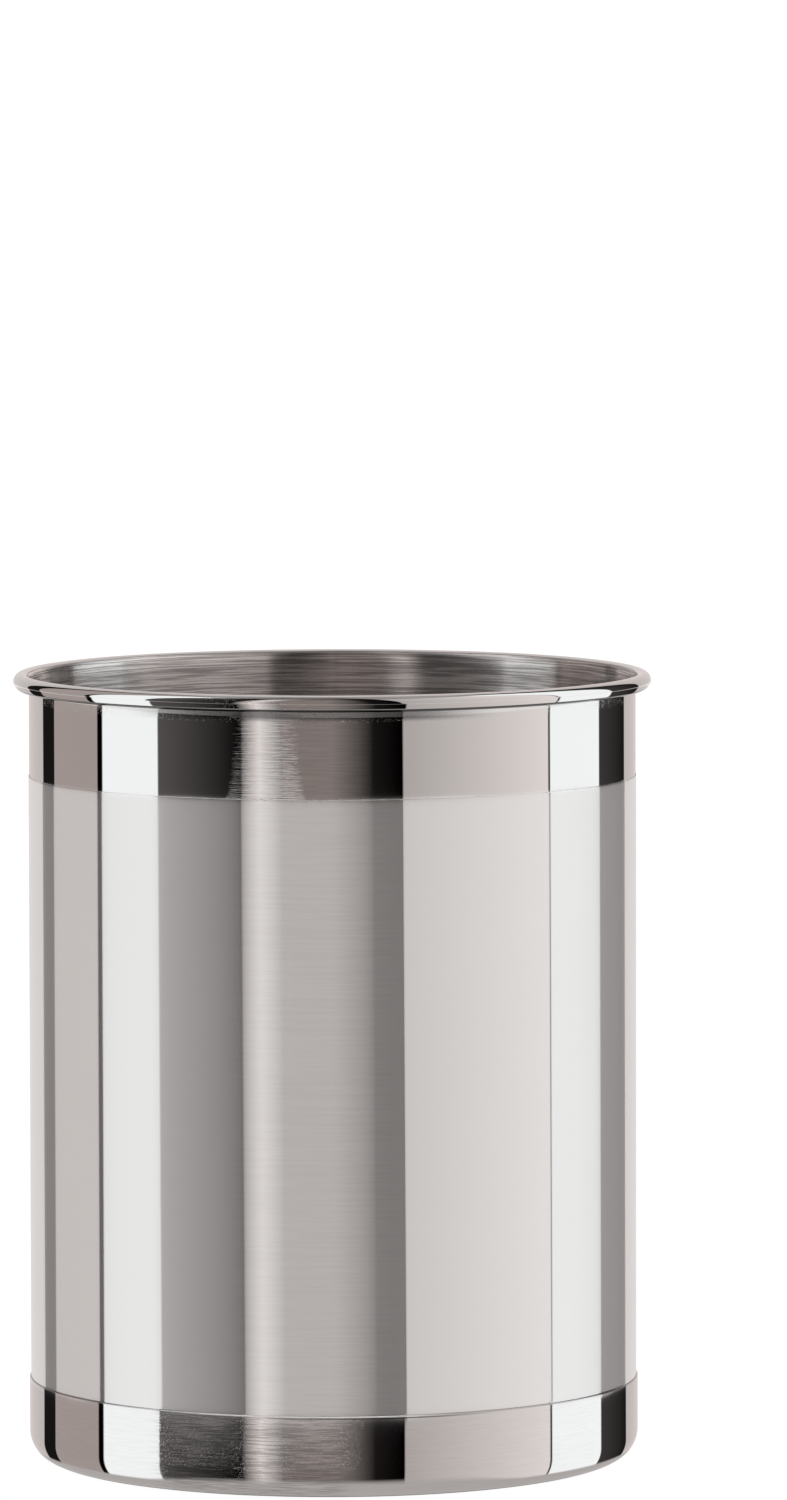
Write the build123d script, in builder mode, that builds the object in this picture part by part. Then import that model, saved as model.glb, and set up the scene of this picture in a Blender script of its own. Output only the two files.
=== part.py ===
"""Stainless steel utensil crock: a rolled tube with a curled rim, a thin satin sleeve round its
middle and a drawn base pan pressed over its lower end. Millimetres, +Z up, origin at the centre
of the face that it stands on."""

from build123d import *
import os
from math import acos, degrees, radians, sin

# Driving dimensions
crock_height = 182.0  # standing face to the crest of the rim
tube_diameter = 139.8  # outside of the rolled tube
tube_sheet = 0.5  # thickness of the tube's sheet

rim_bead = 3.8  # thickness of the rolled bead, crest to underside
flare_run = 0.25  # how far the wall has bent outward where the bead begins
flare_radius = 12.0  # radius of that bend
curl_stop_angle = 137.0  # how far below level the sheet's edge is tucked under the bead, degrees

sleeve_sheet = 0.12  # thickness of the satin sleeve
sleeve_gap = 0.03  # radial gap between tube and sleeve
sleeve_top_drop = 23.6  # crest of the rim down to the sleeve's top edge
sleeve_seat_gap = 0.15  # sleeve's lower edge above the base pan's lip
sleeve_seam = 0.3  # butt joint where the sleeve's ends meet, at the back

pan_height = 19.1  # standing face to the base pan's lip
pan_sheet = 0.45  # thickness of the base pan's sheet
pan_gap = 0.03  # radial gap between tube and base pan
pan_corner = 6.5  # outside radius between the pan's wall and its floor
pan_lip_round = 0.12  # worn edge of the lip
ring_width = 6.0  # flat ring that the crock stands on
panel_rise = 1.2  # raised middle of the pan's floor
panel_step = 2.4  # run of the slope up to the raised middle
panel_bend = 1.6  # bend radius at each end of that slope

# Worked out from the sizes above
tube_radius = tube_diameter / 2
wall_centre = tube_radius - tube_sheet / 2
bead_radius = rim_bead / 2
curl_radius = bead_radius - tube_sheet / 2
curl_centre_r = wall_centre + flare_run + curl_radius
curl_centre_z = crock_height - bead_radius
flare_angle = degrees(acos(1 - flare_run / (flare_radius - curl_radius)))
flare_start_z = curl_centre_z - (flare_radius - curl_radius) * sin(radians(flare_angle))

pan_outer = tube_radius + pan_gap + pan_sheet
pan_wall_centre = pan_outer - pan_sheet / 2
pan_corner_centre = pan_corner - pan_sheet / 2
ring_outer = pan_outer - pan_corner
ring_inner = ring_outer - ring_width
tube_foot_z = pan_corner

sleeve_inner = tube_radius + sleeve_gap
sleeve_outer = sleeve_inner + sleeve_sheet
sleeve_low_z = pan_height + sleeve_seat_gap
sleeve_high_z = crock_height - sleeve_top_drop
sleeve_seam_angle = degrees(sleeve_seam / sleeve_outer)

# Every profile is drawn at the back, where the seams are, and revolved from there
back = Plane.YZ
sleeve_end = back.rotated((0, sleeve_seam_angle / 2, 0))

# Rolled tube: straight wall, slight flare, then the sheet curls outward over the top and under
with BuildPart() as body_tube:
    with BuildSketch(back):
        with BuildLine() as tube_path:
            Line((wall_centre, tube_foot_z), (wall_centre, flare_start_z))
            CenterArc(
                (wall_centre + flare_radius, flare_start_z),
                flare_radius,
                180,
                -flare_angle,
            )
            CenterArc(
                (curl_centre_r, curl_centre_z),
                curl_radius,
                180 - flare_angle,
                flare_angle - 180 - curl_stop_angle,
            )
        trace(tube_path.line, line_width=tube_sheet)
    revolve(axis=Axis.Z)

# Satin sleeve: a thin strip wrapped round the tube, its ends meeting in a butt joint at the back
with BuildPart() as satin_sleeve:
    with BuildSketch(sleeve_end):
        with Locations((sleeve_inner, sleeve_low_z)):
            Rectangle(sleeve_sheet, sleeve_high_z - sleeve_low_z, align=(Align.MIN, Align.MIN))
    revolve(axis=Axis.Z, revolution_arc=360 - sleeve_seam_angle)

# Base pan: drawn cup with a raised floor, standing on a flat ring inside its rounded corner
with BuildPart() as base_pan:
    with BuildSketch(back):
        with BuildLine() as pan_path:
            FilletPolyline(
                (0, pan_sheet / 2 + panel_rise),
                (ring_inner - panel_step, pan_sheet / 2 + panel_rise),
                (ring_inner, pan_sheet / 2),
                (pan_wall_centre, pan_sheet / 2),
                (pan_wall_centre, pan_height),
                radius=[panel_bend, panel_bend, pan_corner_centre],
            )
        trace(pan_path.line, line_width=pan_sheet)
    revolve(axis=Axis.Z)
    lip_edges = base_pan.edges().group_by(Axis.Z)[-1]
    fillet(lip_edges, radius=pan_lip_round)

os.makedirs("parts", exist_ok=True)
for label, piece in (
    ("body_tube", body_tube),
    ("satin_sleeve", satin_sleeve),
    ("base_pan", base_pan),
):
    piece.part.label = label
    export_step(piece.part, f"parts/{label}.step")
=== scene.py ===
"""Looks of a stainless steel utensil crock: a rolled tube with a curled rim, a thin satin sleeve
round its middle and a drawn base pan, with a small studio. Metres, +Z up, -Y towards the front."""

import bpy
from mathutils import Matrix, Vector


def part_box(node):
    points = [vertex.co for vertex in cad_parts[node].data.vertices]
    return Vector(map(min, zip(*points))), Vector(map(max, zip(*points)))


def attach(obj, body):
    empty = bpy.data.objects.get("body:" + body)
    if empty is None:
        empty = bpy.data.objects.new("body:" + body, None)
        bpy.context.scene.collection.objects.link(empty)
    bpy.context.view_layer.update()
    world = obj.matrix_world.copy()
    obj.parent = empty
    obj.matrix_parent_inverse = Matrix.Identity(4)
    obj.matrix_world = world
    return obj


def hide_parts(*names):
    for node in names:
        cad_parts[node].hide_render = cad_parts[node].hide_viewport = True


bl_info = {
    "name": "Utensil Crock",
    "version": (1, 0, 0),
    "blender": (4, 5, 0),
    "location": "View3D > Sidebar > Crock",
    "description": "Models a stainless steel utensil crock and lights it in a small studio",
    "category": "Object",
}

from math import acos, atan, atan2, cos, hypot, pi, radians, sin, tan, tau
from random import Random

import bmesh
import bpy
from bpy.props import (
    FloatProperty,
    FloatVectorProperty,
    IntProperty,
    PointerProperty,
)

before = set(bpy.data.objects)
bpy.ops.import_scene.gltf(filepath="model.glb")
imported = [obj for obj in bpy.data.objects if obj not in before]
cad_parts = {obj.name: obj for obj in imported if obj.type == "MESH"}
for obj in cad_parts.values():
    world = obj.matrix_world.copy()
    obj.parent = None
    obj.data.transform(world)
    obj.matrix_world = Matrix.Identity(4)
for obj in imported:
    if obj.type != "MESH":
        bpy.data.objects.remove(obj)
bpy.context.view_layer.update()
tube_low, tube_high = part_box("body_tube")
sleeve_low, sleeve_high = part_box("satin_sleeve")
pan_low, pan_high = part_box("base_pan")


def size(name, description, default):
    """A length that a user may change."""
    return FloatProperty(name=name, description=description, default=default, min=0.0, precision=5,
                         unit="LENGTH")


def turn(name, description, default_degrees):
    """An angle that a user may change."""
    return FloatProperty(name=name, description=description, default=radians(default_degrees),
                         precision=3, unit="ROTATION")


def count(name, description, default):
    """A number of steps that a user may change."""
    return IntProperty(name=name, description=description, default=default, min=1)


def share(name, description, default):
    """A plain factor that a user may change."""
    return FloatProperty(name=name, description=description, default=default, precision=3)


def tint(name, description, default):
    """A colour that a user may change."""
    return FloatVectorProperty(name=name, description=description, default=default, size=3,
                               min=0.0, max=1.0, subtype="COLOR")


class TubeSizes(bpy.types.PropertyGroup):
    """Sizes of the rolled tube and its curled rim."""

    foot: size("Foot", "Height of the tube's lower edge", tube_low.z)
    crest: size("Crest", "Height of the rim's crest", tube_high.z)
    sheet: size("Sheet", "Thickness of the sheet", 0.0005)
    bead: size("Bead", "Thickness of the rolled bead", 0.0038)
    flare_run: size("Flare run", "How far the wall has bent outward where the bead begins", 0.00025)
    flare_radius: size("Flare radius", "Radius of that bend", 0.012)
    curl_stop: turn("Curl stop", "How far below level the sheet's edge is tucked under", 137.0)
    ring_step: size("Ring step", "Height between edge rings on the polished neck", 0.0022)
    seam_width: size("Seam width", "Width of the ground weld seam at the back", 0.0011)
    seam_depth: size("Seam depth", "How far the ground weld lies below the sheet", 0.00003)
    wave: size("Wave", "Height of the slow waves that rolling left in the wall", 0.000006)
    wave_length: size("Wave length", "Length of those waves", 0.034)
    edge_round: size("Edge round", "Rounding of the sheet's cut edges", 0.00012)
    turns: count("Turns", "Edge columns round the tube", 320)


class SleeveSizes(bpy.types.PropertyGroup):
    """Sizes of the thin satin sleeve."""

    sheet: size("Sheet", "Thickness of the sleeve", 0.00012)
    gap: size("Gap", "Radial gap between the tube and the sleeve", 0.00003)
    seam: size("Seam", "Gap between the sleeve's ends at the back", 0.0003)
    edge_round: size("Edge round", "Rounding of the sleeve's cut edges", 0.00005)
    settle: size("Settle", "How much nearer to the base pan's lip the sleeve has settled", 0.00012)
    edge_guard: size("Edge guard", "Height of the strip beside each cut edge", 0.00014)
    ragged: size("Ragged", "How uneven the top edge is", 0.00005)
    nick: size("Nick", "Depth of the largest nicks in the top edge", 0.00022)
    turns: count("Turns", "Edge columns round the sleeve", 720)


class PanSizes(bpy.types.PropertyGroup):
    """Sizes of the drawn base pan."""

    sheet: size("Sheet", "Thickness of the sheet", 0.00045)
    corner: size("Corner", "Outside radius between wall and floor", 0.0065)
    ring_width: size("Ring width", "Flat ring that the crock stands on", 0.006)
    panel_rise: size("Panel rise", "Rise of the middle of the floor", 0.0012)
    panel_step: size("Panel step", "Run of the slope up to the middle", 0.0024)
    panel_bend: size("Panel bend", "Bend radius at each end of that slope", 0.0016)
    lip_round: size("Lip round", "Worn edge of the lip", 0.00016)
    guard: size("Guard", "Length of the strip beside each bend", 0.0006)
    lip_guard: size("Lip guard", "Height of the strip below the lip", 0.00022)
    wave: size("Wave", "Height of the slow waves that drawing left", 0.000014)
    wave_length: size("Wave length", "Length of those waves", 0.022)
    turns: count("Turns", "Edge columns round the pan", 320)


class Finishes(bpy.types.PropertyGroup):
    """Colours and gloss of the steel."""

    neck_colour: tint("Neck", "Steel of the polished neck and rim", (0.75, 0.745, 0.74))
    inside_colour: tint("Inside", "Steel of the brushed inner wall", (0.96, 0.925, 0.91))
    sleeve_colour: tint("Sleeve", "Steel of the satin sleeve", (0.885, 0.88, 0.875))
    pan_colour: tint("Pan", "Steel of the base pan", (0.75, 0.74, 0.735))
    neck_roughness: share("Neck roughness", "Gloss of the polished neck", 0.008)
    inside_roughness: share("Inside roughness", "Gloss of the brushed inner wall", 0.26)
    sleeve_roughness: share("Sleeve roughness", "Gloss of the sleeve's drawn-out layer", 0.34)
    pan_roughness: share("Pan roughness", "Gloss of the base pan where it is worn", 0.035)


class StudioSizes(bpy.types.PropertyGroup):
    """Camera, floor and light."""

    camera_x: FloatProperty(name="Camera X", description="Camera to the right of the axis",
                            default=0.0145, unit="LENGTH", precision=4)
    camera_back: size("Camera distance", "Camera in front of the axis", 2.4066)
    camera_height: size("Camera height", "Camera above the floor", 0.3629)
    camera_pitch: turn("Camera pitch", "How far the camera looks down", 4.728)
    camera_roll: turn("Camera roll", "Turn of the camera about its own view", 0.115)
    camera_lens: share("Lens", "Focal length in millimetres on a 36 mm long side", 251.38)
    near_floor: size("Near floor", "Radius of the floor that the steel mirrors", 0.079)
    far_floor: size("Far floor", "Radius of the whole floor", 60.0)
    floor_colour: tint("Floor", "Plain pale floor", (0.90, 0.90, 0.90))
    key_angle: turn("Key size", "Apparent size of the soft light overhead", 70.0)
    key_strength: share("Key strength", "Light that falls on the floor from overhead", 4.2)
    table_strength: share("Table strength", "Light that the floor gives off by itself", 1.25)
    sky_strength: share("Surround strength", "Brightness of the brightest light", 4.0)


class CrockSettings(bpy.types.PropertyGroup):
    """All settings of the crock and its studio."""

    tube: PointerProperty(type=TubeSizes)
    sleeve: PointerProperty(type=SleeveSizes)
    pan: PointerProperty(type=PanSizes)
    finish: PointerProperty(type=Finishes)
    studio: PointerProperty(type=StudioSizes)


# Profiles are drawn at the back of the crock, in the plane of radius and height, then spun


def start_profile(name, radius, height):
    """A new piece that holds one point of its profile, left in edit mode."""
    bpy.ops.object.select_all(action="DESELECT")
    bpy.ops.mesh.primitive_plane_add(size=pan_high.z)
    piece = bpy.context.active_object
    piece.name = name
    piece.data.name = name
    bpy.ops.object.mode_set(mode="EDIT")
    bpy.ops.mesh.select_all(action="SELECT")
    bpy.ops.mesh.merge(type="CENTER")
    bpy.ops.transform.translate(value=(0.0, radius, height))
    return piece


def draw_line(outward, upward, steps=1):
    """Carries the profile on in a straight line."""
    for _ in range(steps):
        bpy.ops.mesh.extrude_vertices_move(
            TRANSFORM_OT_translate={"value": (0.0, outward / steps, upward / steps)})


def draw_arc(centre_radius, centre_height, angle, steps):
    """Carries the profile on round a centre, counter-clockwise in the plane of radius and height."""
    # Spin turns clockwise about its axis, so the axis points the other way
    bpy.ops.mesh.spin(steps=steps, angle=angle, center=(0.0, centre_radius, centre_height),
                      axis=(-1.0, 0.0, 0.0))


def turn_profile(angle):
    """Turns the drawn profile about the crock's axis, clockwise from above."""
    bpy.ops.mesh.select_all(action="SELECT")
    bpy.ops.transform.rotate(value=angle, orient_axis="Z", center_override=(0.0, 0.0, 0.0))


def spin_profile(parts):
    """Spins the drawn profile clockwise round the axis, in parts of (angle, columns)."""
    bpy.ops.mesh.select_all(action="SELECT")
    for angle, columns in parts:
        bpy.ops.mesh.spin(steps=columns, angle=angle, center=(0.0, 0.0, 0.0), axis=(0.0, 0.0, 1.0))


def close_mesh():
    """Merges what the spin laid on itself and turns the faces one way."""
    merge_distance = 1e-6
    bpy.ops.mesh.select_all(action="SELECT")
    bpy.ops.mesh.remove_doubles(threshold=merge_distance)
    bpy.ops.mesh.normals_make_consistent(inside=False)


def select_vertices(piece, wanted):
    """In edit mode, selects just the vertices for which wanted(place) is true."""
    bpy.ops.mesh.select_mode(type="VERT")
    bpy.ops.mesh.select_all(action="DESELECT")
    mesh = bmesh.from_edit_mesh(piece.data)
    for vertex in mesh.verts:
        vertex.select = wanted(vertex.co)
    mesh.select_flush(True)
    bmesh.update_edit_mesh(piece.data)


def apply_modifier(piece, kind, **settings):
    """Adds a modifier, sets it and applies it."""
    modifier = piece.modifiers.new(kind.title(), kind)
    for name, value in settings.items():
        setattr(modifier, name, value)
    bpy.ops.object.modifier_apply(modifier=modifier.name)


def add_waves(piece, height, length):
    """Leaves the slow waves of rolling or drawing in a sheet."""
    cloud = bpy.data.textures.new(piece.name + "_waves", "CLOUDS")
    cloud.noise_scale = length
    cloud.noise_depth = 1
    apply_modifier(piece, "DISPLACE", texture=cloud, strength=height, mid_level=0.5)


def thicken(piece, sheet, edge_round):
    """Gives the sheet its thickness and rounds its cut edges."""
    edge_steps = 3
    sharp = radians(60.0)
    apply_modifier(piece, "SOLIDIFY", thickness=sheet, offset=0.0, use_even_offset=True)
    apply_modifier(piece, "BEVEL", width=edge_round, segments=edge_steps, limit_method="ANGLE",
                   angle_limit=sharp, use_clamp_overlap=True)
    bpy.ops.object.shade_smooth()


def paint(piece, materials, choose):
    """Gives a piece its materials, each face the one whose number choose(place, normal) gives."""
    for material in materials:
        piece.data.materials.append(material)
    for face in piece.data.polygons:
        face.material_index = choose(face.center, face.normal)


def outward_part(place, normal):
    """How much a face looks away from the axis, from -1 to 1."""
    reach = hypot(place.x, place.y)
    return (normal.x * place.x + normal.y * place.y) / reach if reach else 0.0


def hand_over(piece, node):
    """Attaches the finished piece to the root body and hides the part that it replaces."""
    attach(piece, "root")
    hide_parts(node)


# Small node helpers


def add_node(tree, kind, sockets=None, **settings):
    """Adds a node, sets it, and fills its inputs with values or with other nodes' outputs."""
    made = tree.nodes.new(kind)
    for name, value in settings.items():
        setattr(made, name, value)
    for name, value in (sockets or {}).items():
        if isinstance(value, bpy.types.NodeSocket):
            tree.links.new(value, made.inputs[name])
        else:
            made.inputs[name].default_value = value
    return made


def maths(tree, operation, *values):
    """The result of a Math node."""
    return add_node(tree, "ShaderNodeMath", dict(enumerate(values)), operation=operation).outputs[0]


def times(tree, first, second):
    """Two values multiplied."""
    return maths(tree, "MULTIPLY", first, second)


def length_of(tree, vector):
    """The length of a vector."""
    made = add_node(tree, "ShaderNodeVectorMath", {0: vector}, operation="LENGTH")
    return made.outputs["Value"]


def direction_of(tree, vector):
    """A vector drawn to a length of 1."""
    made = add_node(tree, "ShaderNodeVectorMath", {0: vector}, operation="NORMALIZE")
    return made.outputs["Vector"]


def parts_of(tree, vector):
    """The outputs X, Y and Z of a vector."""
    return add_node(tree, "ShaderNodeSeparateXYZ", {0: vector}).outputs


def place_on(tree):
    """The place on the piece, in its own metres."""
    return add_node(tree, "ShaderNodeTexCoord").outputs["Object"]


def remap(tree, value, low, high, to_low=0.0, to_high=1.0, smooth=True):
    """Value carried from one range to another, and held at its ends."""
    sockets = {"Value": value, "From Min": low, "From Max": high, "To Min": to_low,
               "To Max": to_high}
    kind = "SMOOTHSTEP" if smooth else "LINEAR"
    return add_node(tree, "ShaderNodeMapRange", sockets, interpolation_type=kind).outputs["Result"]


def blend(tree, factor, first, second):
    """A mix of two colours."""
    made = add_node(tree, "ShaderNodeMix", {"Factor": factor}, data_type="RGBA")
    for index, colour in ((6, first), (7, second)):
        if isinstance(colour, bpy.types.NodeSocket):
            tree.links.new(colour, made.inputs[index])
        else:
            made.inputs[index].default_value = (*colour[:3], 1.0)
    return made.outputs[2]


def darker(colour, part):
    """A colour with just a part of its brightness."""
    return [channel * part for channel in colour]


def ring_lines(tree, line, streak, detail):
    """Noise in fine lines that run round the axis: line is their pitch, streak their length."""
    wall_radius = sleeve_high.x
    roughness = 0.6
    place = place_on(tree)
    level = add_node(tree, "ShaderNodeVectorMath", {0: place, 1: (1.0, 1.0, 0.0)},
                     operation="MULTIPLY").outputs["Vector"]
    way = parts_of(tree, direction_of(tree, level))
    run = maths(tree, "ADD", length_of(tree, level), parts_of(tree, place)["Z"])
    along = wall_radius / streak
    sockets = {
        "X": times(tree, way["X"], along),
        "Y": times(tree, way["Y"], along),
        "Z": times(tree, run, 1.0 / line),
    }
    vector = add_node(tree, "ShaderNodeCombineXYZ", sockets).outputs["Vector"]
    sockets = {"Vector": vector, "Scale": 1.0, "Detail": detail, "Roughness": roughness}
    return add_node(tree, "ShaderNodeTexNoise", sockets).outputs["Fac"]


def both_lines(tree, coarse, fine, fine_part):
    """Coarse and fine lines together, of which the fine have the given part."""
    return maths(tree, "ADD", times(tree, coarse, 1.0 - fine_part),
                 times(tree, fine, fine_part))


def cloud(tree, width, detail):
    """Soft noise with no direction, in patches of about one width."""
    sockets = {"Vector": place_on(tree), "Scale": 1.0 / width, "Detail": detail}
    return add_node(tree, "ShaderNodeTexNoise", sockets).outputs["Fac"]


def height_at(tree):
    """Height above the standing face."""
    return parts_of(tree, place_on(tree))["Z"]


def band(tree, height, origin, shape):
    """1 on a band of heights, whose shape says where it starts, is full, fades and ends."""
    start, full, fades, end = (origin + step for step in shape)
    return times(tree, remap(tree, height, start, full), remap(tree, height, end, fades))


def above(tree, height, origin, rise):
    """1 above a height, growing over a rise that is given from an origin."""
    return remap(tree, height, *(origin + step for step in rise))


def bump(tree, height, distance, under=None):
    """A bumped normal, laid over another if one is given."""
    sockets = {"Height": height, "Distance": distance, "Strength": 1.0}
    if under is not None:
        sockets["Normal"] = under
    return add_node(tree, "ShaderNodeBump", sockets).outputs["Normal"]


def brushed(tree, colour, grain, spread, **sockets):
    """A reflection that brushing round the axis keeps crisp sideways and draws out up and down."""
    tangent = add_node(tree, "ShaderNodeTangent", direction_type="RADIAL", axis="Z").outputs["Tangent"]
    sockets.update({"Color": colour, "Roughness": grain, "Anisotropy": spread, "Tangent": tangent})
    return add_node(tree, "ShaderNodeBsdfAnisotropic", sockets).outputs["BSDF"]


def mix(tree, part, first, second):
    """Two shaders, of which the second has the given part."""
    return add_node(tree, "ShaderNodeMixShader", {0: part, 1: first, 2: second}).outputs["Shader"]


def matt(tree, colour):
    """A surface with no gloss."""
    return add_node(tree, "ShaderNodeBsdfDiffuse", {"Color": colour}).outputs["BSDF"]


def steel(tree, **sockets):
    """A metal shader. Names in sockets have underscores for spaces."""
    named = {name.replace("_", " "): value for name, value in sockets.items()}
    named["Metallic"] = 1.0
    return add_node(tree, "ShaderNodeBsdfPrincipled", named).outputs["BSDF"]


def new_material(name):
    """An empty node material."""
    material = bpy.data.materials.new(name)
    material.use_nodes = True
    material.node_tree.nodes.clear()
    return material


def close_material(tree, shader):
    """Links the finished shader to the output."""
    add_node(tree, "ShaderNodeOutputMaterial", {"Surface": shader})


def front_patch(tree, left, right, soft):
    """1 on the stretch of the front between two sideways places: where hands and cloths wore it, and
    where highlights and shade are painted.
    """
    place = parts_of(tree, place_on(tree))
    front = remap(tree, place["Y"], 0.0, -soft)
    past_left = remap(tree, place["X"], left - soft, left + soft)
    before_right = remap(tree, place["X"], right + soft, right - soft)
    return times(tree, front, times(tree, past_left, before_right))


# Stretches of the front: worn ones, the darker strip, and those with painted highlights and painted
# shade. For each: left end, right end and how softly both end, sideways
NECK_BRUSHED = (-0.022, 0.013, 0.004)
NECK_DARKER_STRIP = (-0.036, 0.028, 0.012)
NECK_RIDGED = (-0.021, -0.008, 0.003)
BEAD_SCUFFED = (-0.030, 0.0, 0.006)
SLEEVE_BRUSHED = (-0.022, 0.015, 0.004)
SLEEVE_EDGE_HIGHLIGHT = (-0.040, 0.014, 0.004)
PAN_WORN = (-0.038, 0.002, 0.006)
PAN_LIP_SHADED = (-0.012, 0.030, 0.012)
PAN_LIP_HIGHLIGHT = (-0.034, 0.020, 0.012)

# Lines that brushing left: pitch, length of a streak, and how much finer noise they hold
NECK_LINES = (0.00036, 0.010, 3.0)
INSIDE_COARSE = (0.0006, 0.050, 1.0)
INSIDE_FINE = (0.0003, 0.014, 1.0)
SLEEVE_LINES = (0.0004, 0.016, 3.0)
PAN_COARSE = (0.0006, 0.030, 1.0)
PAN_FINE = (0.00028, 0.006, 1.0)

# Clouds of pits, specks and haze: width, and how much finer noise they hold
PITS = (0.00026, 1.0)
NECK_HAZE = (0.012, 2.0)
SLEEVE_HAZE = (0.03, 2.0)

# Where noise counts as a mark, from no mark to a full one
DARK_LINES = (0.6, 0.38)
INSIDE_LINES = (0.42, 0.58)
PAN_LINES = (0.58, 0.42)
PIT_MARKS = (0.64, 0.78)
SPECK_MARKS = (0.60, 0.74)
HAIR_MARKS = (0.52, 0.66)

# Heights of marks, painted shade and painted highlights: from the bead's underside, the sleeve's top
# edge and the pan's lip
CREVICE_SHADE = (-0.00012, 0.0, 0.00062, 0.00080)
PITTED_STRIP = (-0.0026, -0.0012, 0.0, 0.0003)
BEAD_RISE = (0.0006, 0.0012)
CUT_RISE = (-0.00016, -0.00008)
LIP_SHADE = (-0.0007, -0.0005, -0.0004, -0.00026)
LIP_RISE = (-0.00034, -0.00024)


def polished_steel(finish, tube):
    """Mirror-polished neck and rim: a ring grain where the front is worn, a pitted strip under the
    bead that is darker in front, a scuffed stretch on top of the bead and painted shade in the crevice
    below it."""
    haze_share = 0.97
    line_share = 0.88
    crevice_shade_share = 0.12
    darker_strip_share = 0.3
    ridge_depth = 0.000004
    pit_depth = 0.000010
    material = new_material("polished_steel")
    tree = material.node_tree
    steel_colour = finish.neck_colour
    bead_foot = tube.crest - tube.bead
    height = height_at(tree)
    # Painted shade: the crevice under the bead is darkened all round
    crevice_shade = band(tree, height, bead_foot, CREVICE_SHADE)
    strip = band(tree, height, bead_foot, PITTED_STRIP)
    on_bead = above(tree, height, bead_foot, BEAD_RISE)
    grain = ring_lines(tree, *NECK_LINES)
    lines = times(tree, remap(tree, grain, *DARK_LINES), front_patch(tree, *NECK_BRUSHED))
    # The strip under the bead is darker on the front
    darker_strip = times(tree, strip, front_patch(tree, *NECK_DARKER_STRIP))
    tone = blend(tree, cloud(tree, *NECK_HAZE), darker(steel_colour, haze_share), steel_colour)
    tone = blend(tree, lines, tone, darker(steel_colour, line_share))
    tone = blend(tree, crevice_shade, tone, darker(steel_colour, crevice_shade_share))
    tone = blend(tree, darker_strip, tone, darker(steel_colour, darker_strip_share))
    pits = remap(tree, cloud(tree, *PITS), *PIT_MARKS)
    scuffed = times(tree, front_patch(tree, *BEAD_SCUFFED), on_bead)
    marked = times(tree, pits, maths(tree, "MAXIMUM", strip, scuffed))
    ridges = times(tree, grain, front_patch(tree, *NECK_RIDGED))
    normal = bump(tree, marked, pit_depth, bump(tree, ridges, ridge_depth))
    shader = steel(tree, Base_Color=tone, Roughness=finish.neck_roughness, Normal=normal)
    close_material(tree, shader)
    return material


def brushed_inside(finish):
    """Inner wall, brushed hard round the axis."""
    fine_part = 0.5
    line_share = 0.5
    line_depth = 0.000003
    drawn_out = 0.8
    soft_part = 0.08
    soft_roughness = 0.4
    material = new_material("brushed_inside")
    tree = material.node_tree
    coarse = ring_lines(tree, *INSIDE_COARSE)
    fine = ring_lines(tree, *INSIDE_FINE)
    both = both_lines(tree, coarse, fine, fine_part)
    tone = blend(tree, remap(tree, both, *INSIDE_LINES), darker(finish.inside_colour, line_share),
                 finish.inside_colour)
    normal = bump(tree, both, line_depth)
    streaks = brushed(tree, tone, finish.inside_roughness, drawn_out, Normal=normal)
    soft = steel(tree, Base_Color=tone, Roughness=soft_roughness, Normal=normal)
    close_material(tree, mix(tree, soft_part, streaks, soft))
    return material


def satin_steel(finish):
    """Pale satin of the sleeve: a sharp reflection under one that is drawn out up and down, and a
    highlight painted on the front of the cut edge."""
    haze_share = 0.985
    line_share = 0.95
    faint_lines = 0.15
    drawn_out = 0.86
    drawn_out_part = 0.33
    sharp_roughness = 0.012
    dull_roughness = 0.7
    dull_part = 0.06
    highlight_part = 0.7
    highlight_colour = (0.8, 0.79, 0.785, 1.0)
    material = new_material("satin_steel")
    tree = material.node_tree
    steel_colour = finish.sleeve_colour
    grain = ring_lines(tree, *SLEEVE_LINES)
    worn = remap(tree, front_patch(tree, *SLEEVE_BRUSHED), 0.0, 1.0, faint_lines, 1.0)
    lines = times(tree, remap(tree, grain, *DARK_LINES), worn)
    tone = blend(tree, cloud(tree, *SLEEVE_HAZE), darker(steel_colour, haze_share), steel_colour)
    tone = blend(tree, lines, tone, darker(steel_colour, line_share))
    sharp = steel(tree, Base_Color=tone, Roughness=sharp_roughness)
    drawn = brushed(tree, tone, finish.sleeve_roughness, drawn_out)
    dull = steel(tree, Base_Color=tone, Roughness=dull_roughness)
    satin = mix(tree, dull_part, mix(tree, drawn_out_part, sharp, drawn), dull)
    # Painted highlight: the cut edge on the front is a bright matt surface
    cut = above(tree, height_at(tree), sleeve_high.z, CUT_RISE)
    edge_highlight = times(tree, cut, front_patch(tree, *SLEEVE_EDGE_HIGHLIGHT))
    highlight = matt(tree, highlight_colour)
    close_material(tree, mix(tree, times(tree, edge_highlight, highlight_part), satin, highlight))
    return material


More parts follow.
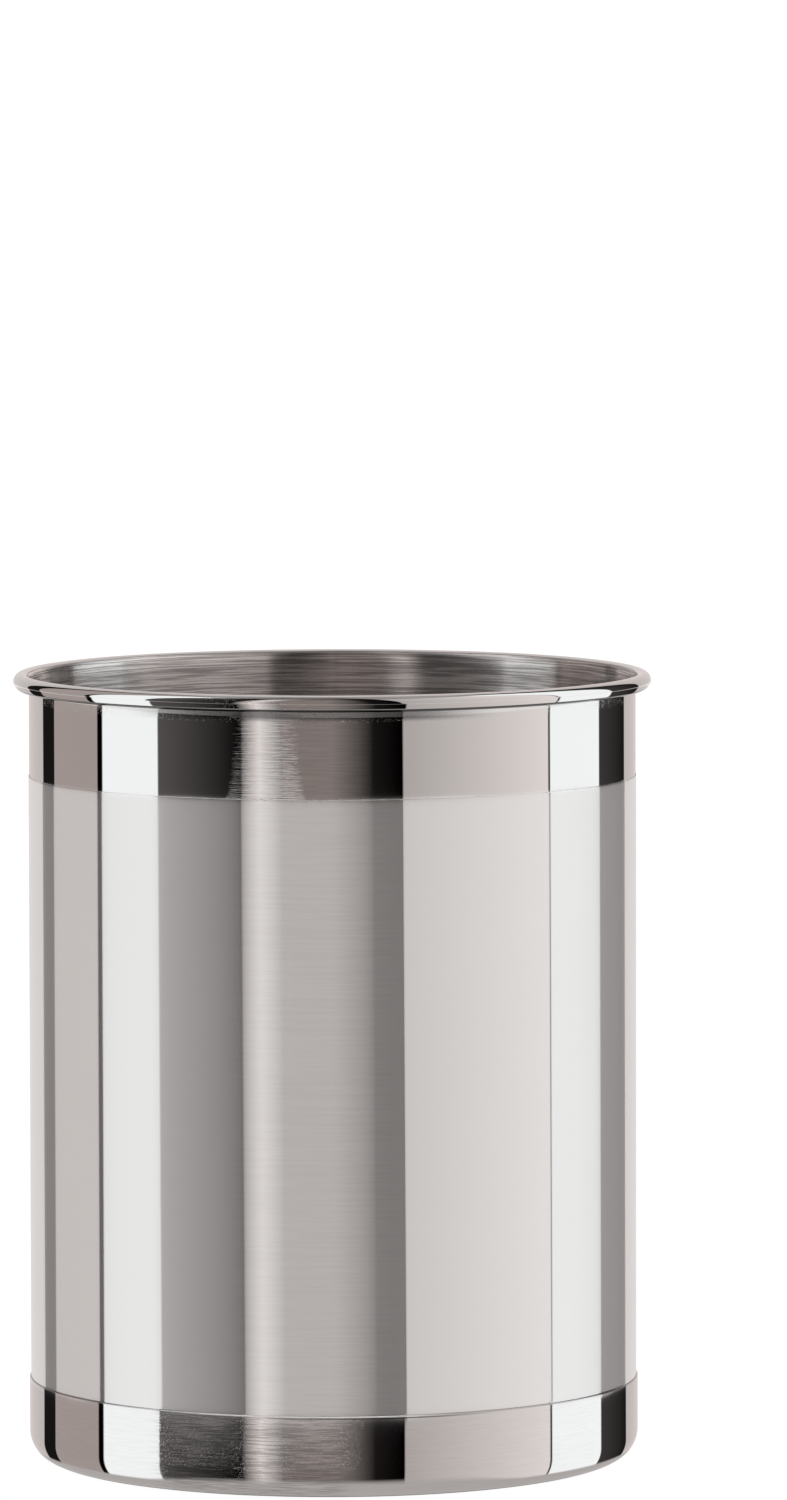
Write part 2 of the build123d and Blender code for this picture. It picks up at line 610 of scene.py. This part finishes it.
def spun_steel(finish, foot_radius):
    """Base pan: nearly polished, with a patch in front that fine rings and scratches make dull, and
    a painted highlight on the lip's front over a thin line of painted shade."""
    fine_part = 0.7
    line_share = 0.66
    faint_lines = 0.1
    lip_shade_share = 0.25
    lip_share = 0.68
    lip_highlight_colour = (0.95, 0.95, 0.945)
    highlight_colour = (0.82, 0.81, 0.8, 1.0)
    highlight_part = 0.8
    speck_depth = 0.000004
    clean_roughness = 0.014
    scratch_roughness = 0.5
    most_scratched = 0.05
    floor_edge = 0.001
    material = new_material("spun_steel")
    tree = material.node_tree
    steel_colour = finish.pan_colour
    height = height_at(tree)
    # Only the outside is worn, not the floor of the pan
    reach = length_of(tree, place_on(tree))
    outside = remap(tree, reach, foot_radius - floor_edge, foot_radius)
    worn = times(tree, front_patch(tree, *PAN_WORN), outside)
    coarse = ring_lines(tree, *PAN_COARSE)
    fine = ring_lines(tree, *PAN_FINE)
    both = both_lines(tree, coarse, fine, fine_part)
    lines = times(tree, remap(tree, both, *PAN_LINES),
                  remap(tree, worn, 0.0, 1.0, faint_lines, 1.0))
    # Painted shade: a thin dark line under the lip on the front
    lip_shade_line = band(tree, height, pan_high.z, LIP_SHADE)
    lip_shade_line = times(tree, lip_shade_line, front_patch(tree, *PAN_LIP_SHADED))
    on_lip = above(tree, height, pan_high.z, LIP_RISE)
    # Painted highlight: the lip on the front is a bright matt surface
    edge_highlight = times(tree, on_lip, front_patch(tree, *PAN_LIP_HIGHLIGHT))
    tone = blend(tree, lines, steel_colour, darker(steel_colour, line_share))
    tone = blend(tree, lip_shade_line, tone, darker(steel_colour, lip_shade_share))
    tone = blend(tree, on_lip, tone, darker(steel_colour, lip_share))
    tone = blend(tree, edge_highlight, tone, lip_highlight_colour)
    specks = times(tree, remap(tree, cloud(tree, *PITS), *SPECK_MARKS), worn)
    normal = bump(tree, specks, speck_depth)
    grain = remap(tree, worn, 0.0, 1.0, clean_roughness, finish.pan_roughness)
    shader = steel(tree, Base_Color=tone, Roughness=grain, Normal=normal)
    scratched = steel(tree, Base_Color=tone, Roughness=scratch_roughness, Normal=normal)
    hairs = times(tree, remap(tree, fine, *HAIR_MARKS, 0.0, most_scratched), worn)
    shader = mix(tree, hairs, shader, scratched)
    highlight = matt(tree, highlight_colour)
    close_material(tree, mix(tree, times(tree, edge_highlight, highlight_part), shader, highlight))
    return material


class CROCK_OT_add_tube(bpy.types.Operator):
    """Models the rolled tube with its flared, curled rim"""

    bl_idname = "crock.add_tube"
    bl_label = "Add Tube"
    bl_options = {"REGISTER", "UNDO"}

    def execute(self, context):
        settings = context.scene.crock
        tube = settings.tube
        sleeve = settings.sleeve
        wall = sleeve_high.x - sleeve.sheet - sleeve.gap - tube.sheet / 2
        curl_radius = (tube.bead - tube.sheet) / 2
        curl_out = wall + tube.flare_run + curl_radius
        curl_height = tube.crest - tube.bead / 2
        flare_angle = acos(1 - tube.flare_run / (tube.flare_radius - curl_radius))
        flare_start = curl_height - (tube.flare_radius - curl_radius) * sin(flare_angle)
        neck_start = sleeve_high.z - tube.ring_step
        neck = flare_start - neck_start
        wall_steps = 4
        flare_steps = 8
        curl_steps = 40
        seam_columns = 2
        inward = -0.6

        piece = start_profile("crock_tube", wall, tube.foot)
        draw_line(0.0, tube.ring_step)
        draw_line(0.0, neck_start - tube.foot - tube.ring_step, wall_steps)
        draw_line(0.0, neck, round(neck / tube.ring_step))
        draw_arc(wall + tube.flare_radius, flare_start, -flare_angle, flare_steps)
        draw_arc(curl_out, curl_height, flare_angle - pi - tube.curl_stop, curl_steps)
        seam_angle = tube.seam_width / wall
        turn_profile(-seam_angle / 2)
        spin_profile(((seam_angle, seam_columns), (tau - seam_angle, tube.turns)))
        close_mesh()
        # Just the middle column of the three that edge the weld sinks
        near_middle = tube.seam_width / 4
        select_vertices(piece, lambda place: place.y > 0 and abs(place.x) < near_middle)
        bpy.ops.transform.translate(value=(0.0, -tube.seam_depth, 0.0))
        bpy.ops.object.mode_set(mode="OBJECT")
        add_waves(piece, tube.wave, tube.wave_length)
        thicken(piece, tube.sheet, tube.edge_round)

        def choose(place, normal):
            brushed_side = outward_part(place, normal) < inward
            return int(brushed_side and hypot(place.x, place.y) < curl_out)

        paint(piece, (polished_steel(settings.finish, tube), brushed_inside(settings.finish)), choose)
        hand_over(piece, "body_tube")
        return {"FINISHED"}


class CROCK_OT_add_sleeve(bpy.types.Operator):
    """Models the thin satin sleeve, open by its butt joint at the back"""

    bl_idname = "crock.add_sleeve"
    bl_label = "Add Sleeve"
    bl_options = {"REGISTER", "UNDO"}

    def execute(self, context):
        settings = context.scene.crock
        sleeve = settings.sleeve
        middle = sleeve_high.x - sleeve.sheet / 2
        foot = sleeve_low.z - sleeve.settle
        tall = sleeve_high.z - foot
        guard = sleeve.edge_guard
        wall_steps = 6
        seed = 7
        # Places of the larger nicks, in degrees from the front, and how deep or high each stands
        nicks = ((-13.6, -0.7), (-12.9, 0.8), (-12.1, -1.0), (72.2, 1.6), (-51.0, 0.6), (31.0, -0.5))

        piece = start_profile("crock_sleeve", middle, foot)
        draw_line(0.0, guard)
        draw_line(0.0, tall - 2 * guard, wall_steps)
        draw_line(0.0, guard)
        seam_angle = sleeve.seam / middle
        turn_profile(seam_angle / 2)
        spin_profile(((tau - seam_angle, sleeve.turns),))
        close_mesh()
        top = sleeve_high.z - guard * 2
        uneven = Random(seed)
        mesh = bmesh.from_edit_mesh(piece.data)
        for vertex in mesh.verts:
            if vertex.co.z > top:
                vertex.co.z += sleeve.ragged * uneven.uniform(-1.0, 1.0)
        bmesh.update_edit_mesh(piece.data)
        column = tau / sleeve.turns
        for bearing, depth in nicks:
            angle = radians(bearing)

            def near(place):
                return place.z > top and abs(atan2(place.x, -place.y) - angle) < column / 2

            select_vertices(piece, near)
            bpy.ops.transform.translate(value=(0.0, 0.0, depth * sleeve.nick))
        bpy.ops.object.mode_set(mode="OBJECT")
        thicken(piece, sleeve.sheet, sleeve.edge_round)
        paint(piece, (satin_steel(settings.finish),), lambda place, normal: 0)
        hand_over(piece, "satin_sleeve")
        return {"FINISHED"}


class CROCK_OT_add_pan(bpy.types.Operator):
    """Models the drawn base pan with its standing ring and raised middle"""

    bl_idname = "crock.add_pan"
    bl_label = "Add Base Pan"
    bl_options = {"REGISTER", "UNDO"}

    def execute(self, context):
        settings = context.scene.crock
        pan = settings.pan
        half = pan.sheet / 2
        wall = pan_high.x - half
        corner = pan.corner - half
        slope = atan(pan.panel_rise / pan.panel_step)
        set_back = pan.panel_bend * tan(slope / 2)
        ring_outer = wall - corner
        ring_inner = ring_outer - pan.ring_width
        panel_edge = ring_inner - pan.panel_step
        panel_height = half + pan.panel_rise
        line = hypot(pan.panel_step, pan.panel_rise) - 2 * set_back
        floor_steps = 8
        slope_steps = 3
        ring_steps = 3
        wall_steps = 6
        bend_steps = 6
        corner_steps = 20

        piece = start_profile("crock_base_pan", 0.0, panel_height)
        draw_line(panel_edge - set_back - pan.guard, 0.0, floor_steps)
        draw_line(pan.guard, 0.0)
        draw_arc(panel_edge - set_back, panel_height - pan.panel_bend, -slope, bend_steps)
        draw_line(line * cos(slope), -line * sin(slope), slope_steps)
        draw_arc(ring_inner + set_back, half + pan.panel_bend, slope, bend_steps)
        draw_line(pan.guard, 0.0)
        draw_line(pan.ring_width - set_back - 2 * pan.guard, 0.0, ring_steps)
        draw_line(pan.guard, 0.0)
        draw_arc(ring_outer, pan.corner, pi / 2, corner_steps)
        draw_line(0.0, pan.guard)
        draw_line(0.0, pan_high.z - pan.corner - pan.guard - pan.lip_guard, wall_steps)
        draw_line(0.0, pan.lip_guard)
        spin_profile(((tau, pan.turns),))
        close_mesh()
        bpy.ops.object.mode_set(mode="OBJECT")
        add_waves(piece, pan.wave, pan.wave_length)
        thicken(piece, pan.sheet, pan.lip_round)
        material = spun_steel(settings.finish, pan_high.x - pan.corner)
        paint(piece, (material,), lambda place, normal: 0)
        hand_over(piece, "base_pan")
        return {"FINISHED"}


# The surround, listed stretch by stretch. Each stretch starts at a bearing in degrees from the
# camera's side towards its right and ends where the next one starts. Then come the brightness at its
# two ends and its warmth
BACK_LEFT = (-180.0, 0.7, 0.6, 0.5)
LEFT_FLAG = (-143.0, 0.01, 0.01, 0.5)
LEFT_WALL = (-131.0, 0.4, 0.4, 1.0)
LEFT_FRAME = (-100.0, 0.0, 0.0, 0.5)
LEFT_SOFTBOX = (-97.0, 1.2, 1.2, -0.14)
LEFT_DARK = (-69.0, 0.1, 0.0, 0.5)
FRONT_LIGHT_RISE = (-34.0, 0.1, 0.9, 0.7)
FRONT_LIGHT_FALL = (-27.0, 0.9, 0.3, 0.5)
FRONT_WALL = (-19.0, 0.25, 0.25, 1.1)
FRONT_FADE = (0.0, 0.25, 0.01, 1.0)
FRONT_DARK = (16.0, 0.01, 0.0, 0.8)
RIGHT_WALL = (27.0, 0.5, 0.9, 0.5)
RIGHT_FRAME = (90.0, 0.0, 0.0, 0.2)
RIGHT_SOFTBOX = (91.0, 1.2, 1.2, -0.14)
RIGHT_FLAG = (122.0, 0.05, 0.01, 0.4)
BACK_RIGHT = (147.0, 0.6, 0.7, 0.6)
STRETCHES = (BACK_LEFT, LEFT_FLAG, LEFT_WALL, LEFT_FRAME, LEFT_SOFTBOX, LEFT_DARK, FRONT_LIGHT_RISE,
             FRONT_LIGHT_FALL, FRONT_WALL, FRONT_FADE, FRONT_DARK, RIGHT_WALL, RIGHT_FRAME,
             RIGHT_SOFTBOX, RIGHT_FLAG, BACK_RIGHT)
# Degrees over which one stretch gives way to the next
SOFT_EDGE = 0.4
# What full warmth makes of white, and the ceiling behind the crock
WARM = (1.12, 0.965, 0.915)
CEILING_GLOW = (0.40, 0.375, 0.365)
VEIL = (0.98, 0.86, 0.83)
FLOOR_GLOW = (0.88, 0.84, 0.82)
# Painted shade: the floor in the crock's shadow round its foot, as the steel mirrors it
FOOT_SHADOW_GLOW = (0.52, 0.49, 0.48)


def stretch_rows():
    """Rows of bearing, brightness and warmth at both ends of every stretch of the surround."""
    rows = []
    ends = [stretch[0] for stretch in STRETCHES[1:]] + [180.0]
    for (begin, first, last, warmth), end in zip(STRETCHES, ends):
        rows.append((begin if begin == -180.0 else begin + SOFT_EDGE / 2, first, warmth))
        rows.append((end if end == 180.0 else end - SOFT_EDGE / 2, last, warmth))
    return rows


def surround_layer(tree, bearing, strongest):
    """The colour of the surround at a bearing, in four ramps of a quarter turn."""
    rows = stretch_rows()
    quarter = 90.0
    quarters = 4
    behind = -180.0
    colour = None
    for number in range(quarters):
        low = behind + quarter * number
        high = low + quarter
        fraction = remap(tree, bearing, low, high, smooth=False)
        ramp = add_node(tree, "ShaderNodeValToRGB", {"Fac": fraction})
        elements = ramp.color_ramp.elements
        elements.remove(elements[1])
        elements[0].position = 0.0
        inside = [row for row in rows if low < row[0] < high]
        stops = [(low, *at_bearing(rows, low)), *inside, (high, *at_bearing(rows, high))]
        for place, (degrees_right, brightness, warmth) in enumerate(stops):
            element = elements[0] if place == 0 else elements.new((degrees_right - low) / quarter)
            tinted = [brightness / strongest * (1 + warmth * (part - 1)) for part in WARM]
            element.color = (*tinted, 1.0)
        if colour is None:
            colour = ramp.outputs["Color"]
        else:
            past = maths(tree, "GREATER_THAN", bearing, low)
            colour = blend(tree, past, colour, ramp.outputs["Color"])
    return colour


def at_bearing(rows, bearing):
    """Brightness and warmth between the two rows on each side of a bearing."""
    for before, after in zip(rows, rows[1:]):
        if before[0] <= bearing <= after[0]:
            part = (bearing - before[0]) / (after[0] - before[0])
            return [old + part * (new - old) for old, new in zip(before[1:], after[1:])]
    raise ValueError("the surround's rows don't go all the way round")


def bearing_of(tree, parts):
    """Degrees from the camera's side towards its right, of a vector's parts."""
    around = maths(tree, "ARCTAN2", parts["X"], times(tree, parts["Y"], -1.0))
    return maths(tree, "DEGREES", around)


def mirrored_in(tree, direction, view):
    """The bearing that an upright wall mirrors from the place that mirrors this direction, and the
    square of the sine of that place's tilt, so that bands run straight down a rounded corner."""
    looking = (0.0, cos(view), -sin(view))
    normal = add_node(tree, "ShaderNodeVectorMath", {0: direction, 1: looking}, operation="SUBTRACT")
    normal = parts_of(tree, direction_of(tree, normal.outputs["Vector"]))
    tilt = times(tree, normal["Z"], normal["Z"])
    return times(tree, bearing_of(tree, normal), 2.0), tilt


def light_surround(studio):
    """Paints softboxes, flags, floor and ceiling into the world, and white for the camera."""
    # Bearings and elevations in degrees
    most_lean = 1.8
    lean_low, lean_high = -11.0, 1.0
    upright_from, leaning_from = -110.0, -60.0
    high_from, high_full = 0.0, 4.0
    overhead_from, overhead_full = 60.0, 66.0
    # How far back a direction points, and how far the place that mirrors it is tilted
    ceiling_from, ceiling_full = -0.05, 0.2
    floor_tilt, wall_tilt = 0.36, 0.30
    # Height over which one band of the surround goes over into the next
    edge = 0.0004
    backdrop = 1.05
    sleeve_contrast, sleeve_dimming = 0.3, 0.62
    # Shares: haze before what the sleeve mirrors, the surround in the floor, and high above
    sleeve_veil, floor_mirrors, overhead_share = 0.1, 0.2, 0.5
    strongest = studio.sky_strength
    pan_view = atan((studio.camera_height - pan_high.z / 2) / (studio.camera_back - pan_high.x))
    pan_top = pan_high.z - studio.camera_height
    sleeve_top = sleeve_high.z - studio.camera_height
    world = bpy.data.worlds.new("studio_surround")
    bpy.context.scene.world = world
    world.use_nodes = True
    tree = world.node_tree
    tree.nodes.clear()
    place = add_node(tree, "ShaderNodeTexCoord").outputs["Generated"]
    parts = parts_of(tree, place)
    upright = bearing_of(tree, parts)
    elevation = maths(tree, "DEGREES", maths(tree, "ARCSINE", parts["Z"]))
    # The softboxes lean a little, so near eye level their edges shift with the elevation
    lean = remap(tree, elevation, lean_low, lean_high, most_lean, -most_lean, smooth=False)
    lean = times(tree, lean, remap(tree, upright, upright_from, leaning_from))
    leaning = maths(tree, "SUBTRACT", upright, lean)

    level = surround_layer(tree, leaning, strongest)
    # Satin scatters, so the sleeve shows the same surround with less contrast
    sockets = {"Color": level, "Gamma": sleeve_contrast}
    flat = add_node(tree, "ShaderNodeGamma", sockets).outputs["Color"]
    flat = blend(tree, sleeve_dimming, flat, (0.0, 0.0, 0.0))
    middle = blend(tree, sleeve_veil, flat, [part / strongest for part in VEIL])
    corner, tilt = mirrored_in(tree, place, pan_view)
    lower = surround_layer(tree, corner, strongest)
    high = level
    floor = blend(tree, floor_mirrors, [part / strongest for part in FLOOR_GLOW], level)
    around = surround_layer(tree, upright, strongest)
    overhead = blend(tree, overhead_share, (0.0, 0.0, 0.0), around)
    ceiling_colour = [part / strongest for part in CEILING_GLOW]
    behind = remap(tree, parts["Y"], ceiling_from, ceiling_full)
    ceiling = blend(tree, behind, (0.0, 0.0, 0.0), ceiling_colour)
    overhead = blend(tree, behind, overhead, ceiling)
    colour = blend(tree, remap(tree, tilt, floor_tilt, wall_tilt), floor, lower)
    # The neck, the sleeve and the pan each mirror their own band, so the bands meet where the
    # camera's view meets the sleeve's edges, a little lower in front than at the sides
    half = maths(tree, "COSINE", maths(tree, "RADIANS", times(tree, upright, 0.5)))
    reach = maths(tree, "SUBTRACT", studio.camera_back, times(tree, half, sleeve_high.x))
    slope = maths(tree, "TANGENT", maths(tree, "RADIANS", elevation))
    drop = times(tree, slope, reach)
    colour = blend(tree, remap(tree, drop, pan_top - edge, pan_top), colour, middle)
    colour = blend(tree, remap(tree, drop, sleeve_top - edge, sleeve_top), colour, level)
    colour = blend(tree, remap(tree, elevation, high_from, high_full), colour, high)
    colour = blend(tree, remap(tree, elevation, overhead_from, overhead_full), colour, overhead)
    light = add_node(tree, "ShaderNodeBackground", {"Color": colour, "Strength": strongest})
    sockets = {"Color": (1.0, 1.0, 1.0, 1.0), "Strength": backdrop}
    white = add_node(tree, "ShaderNodeBackground", sockets)
    seen = add_node(tree, "ShaderNodeLightPath").outputs["Is Camera Ray"]
    both = mix(tree, seen, light.outputs["Background"], white.outputs["Background"])
    add_node(tree, "ShaderNodeOutputWorld", {"Surface": both})


def floor_material(studio, foot_radius):
    """Plain pale floor that is not there when it is looked at from below. The steel mirrors just the
    glowing ring of painted contact shadow round the foot, and the surround on both sides of that ring."""
    # Distances past the foot
    cleared, covered = -0.0016, -0.0008
    dark_full, ring_full = 0.0008, 0.0021
    side_end, front_end = 0.0058, 0.0095
    side_soft, front_soft = 0.0007, 0.0030
    # How far a place faces the front
    side_facing, front_facing = 0.75, 0.95
    contact_shadow_colour = (0.01, 0.01, 0.01)
    lit_below = 0.85
    strongest = studio.sky_strength
    colour = (*studio.floor_colour, 1.0)
    material = new_material("pale_floor")
    tree = material.node_tree
    place = place_on(tree)
    around = bearing_of(tree, parts_of(tree, place))
    # A wall mirrors from twice as far round as it faces
    shadow_ring = [part / strongest for part in FOOT_SHADOW_GLOW]
    past = maths(tree, "SUBTRACT", length_of(tree, place), foot_radius)
    foot_shadow = blend(tree, remap(tree, past, dark_full, ring_full), contact_shadow_colour, shadow_ring)
    # The painted shadow ring is wide in front and narrow at the sides
    facing = maths(tree, "COSINE", maths(tree, "RADIANS", around))
    end = remap(tree, facing, side_facing, front_facing, side_end, front_end)
    soft = remap(tree, facing, side_facing, front_facing, side_soft, front_soft)
    beyond = remap(tree, maths(tree, "DIVIDE", maths(tree, "SUBTRACT", past, end), soft), -1.0, 1.0)
    lit = matt(tree, colour)
    # Lit from below as well, as a light table is, so the crock's shadow stays faint
    sockets = {"Color": colour, "Strength": studio.table_strength}
    glowing = add_node(tree, "ShaderNodeEmission", sockets).outputs["Emission"]
    pale = mix(tree, lit_below, lit, glowing)
    clear = add_node(tree, "ShaderNodeBsdfTransparent").outputs["BSDF"]
    # Painted contact shadow: dark at the foot and grey beyond, glowing so that only reflections show
    # it
    sockets = {"Color": foot_shadow, "Strength": strongest}
    dull = add_node(tree, "ShaderNodeEmission", sockets).outputs["Emission"]
    below = remap(tree, past, covered, cleared)
    mirrored = mix(tree, maths(tree, "MAXIMUM", beyond, below), dull, clear)
    glossy = add_node(tree, "ShaderNodeLightPath").outputs["Is Glossy Ray"]
    under = add_node(tree, "ShaderNodeNewGeometry").outputs["Backfacing"]
    close_material(tree, mix(tree, under, mix(tree, glossy, pale, mirrored), clear))
    return material


class CROCK_OT_set_studio(bpy.types.Operator):
    """Lays the floor, lights the studio and places the camera"""

    bl_idname = "crock.set_studio"
    bl_label = "Set Studio"
    bl_options = {"REGISTER", "UNDO"}

    def execute(self, context):
        studio = context.scene.crock.studio
        pan = context.scene.crock.pan
        material = floor_material(studio, pan_high.x - pan.corner)
        drop = 0.00002
        corners = 96
        sensor_side = 36.0
        bpy.ops.object.select_all(action="DESELECT")
        bpy.ops.mesh.primitive_circle_add(vertices=corners, radius=studio.near_floor,
                                          fill_type="NGON", location=(0.0, 0.0, -drop))
        near = context.active_object
        near.name = "floor_near"
        bpy.ops.mesh.primitive_circle_add(vertices=corners, radius=studio.near_floor,
                                          fill_type="NOTHING", location=(0.0, 0.0, -drop))
        far = context.active_object
        far.name = "floor_far"
        bpy.ops.object.mode_set(mode="EDIT")
        bpy.ops.mesh.select_all(action="SELECT")
        bpy.ops.mesh.extrude_edges_move()
        grow = studio.far_floor / studio.near_floor
        bpy.ops.transform.resize(value=(grow, grow, 1.0))
        bpy.ops.mesh.select_all(action="SELECT")
        bpy.ops.object.mode_set(mode="OBJECT")
        far.visible_glossy = False
        for piece in (near, far):
            piece.data.materials.append(material)
        bpy.ops.object.light_add(type="SUN", location=(0.0, 0.0, studio.camera_back))
        key = context.active_object
        key.name = "overhead_light"
        key.data.angle = studio.key_angle
        key.data.energy = studio.key_strength
        key.visible_glossy = False
        light_surround(studio)

        place = (studio.camera_x, -studio.camera_back, studio.camera_height)
        aim = (pi / 2 - studio.camera_pitch, studio.camera_roll, 0.0)
        bpy.ops.object.camera_add(location=place, rotation=aim)
        camera = context.active_object
        camera.name = "studio_camera"
        camera.data.sensor_width = sensor_side
        camera.data.lens = studio.camera_lens
        context.scene.camera = camera
        context.scene.view_settings.view_transform = "Standard"
        return {"FINISHED"}


class CROCK_PT_panel(bpy.types.Panel):
    """Sidebar panel with the crock's operators and settings"""

    bl_label = "Utensil Crock"
    bl_idname = "CROCK_PT_panel"
    bl_space_type = "VIEW_3D"
    bl_region_type = "UI"
    bl_category = "Crock"

    def draw(self, context):
        settings = context.scene.crock
        for operator in OPERATORS:
            self.layout.operator(operator.bl_idname)
        for group in (settings.tube, settings.sleeve, settings.pan, settings.finish, settings.studio):
            box = self.layout.box()
            for name in group.bl_rna.properties.keys():
                if name not in ("rna_type", "name"):
                    box.prop(group, name)


OPERATORS = (CROCK_OT_add_tube, CROCK_OT_add_sleeve, CROCK_OT_add_pan, CROCK_OT_set_studio)
CLASSES = (TubeSizes, SleeveSizes, PanSizes, Finishes, StudioSizes, CrockSettings, *OPERATORS,
           CROCK_PT_panel)


def register():
    """Registers the classes and the scene's settings."""
    for item in CLASSES:
        bpy.utils.register_class(item)
    bpy.types.Scene.crock = PointerProperty(type=CrockSettings)


def unregister():
    """Takes the settings and the classes away again."""
    del bpy.types.Scene.crock
    for item in reversed(CLASSES):
        bpy.utils.unregister_class(item)


def main():
    """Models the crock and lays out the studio."""
    register()
    bpy.ops.crock.add_tube()
    bpy.ops.crock.add_sleeve()
    bpy.ops.crock.add_pan()
    bpy.ops.crock.set_studio()


if __name__ == "__main__":
    main()
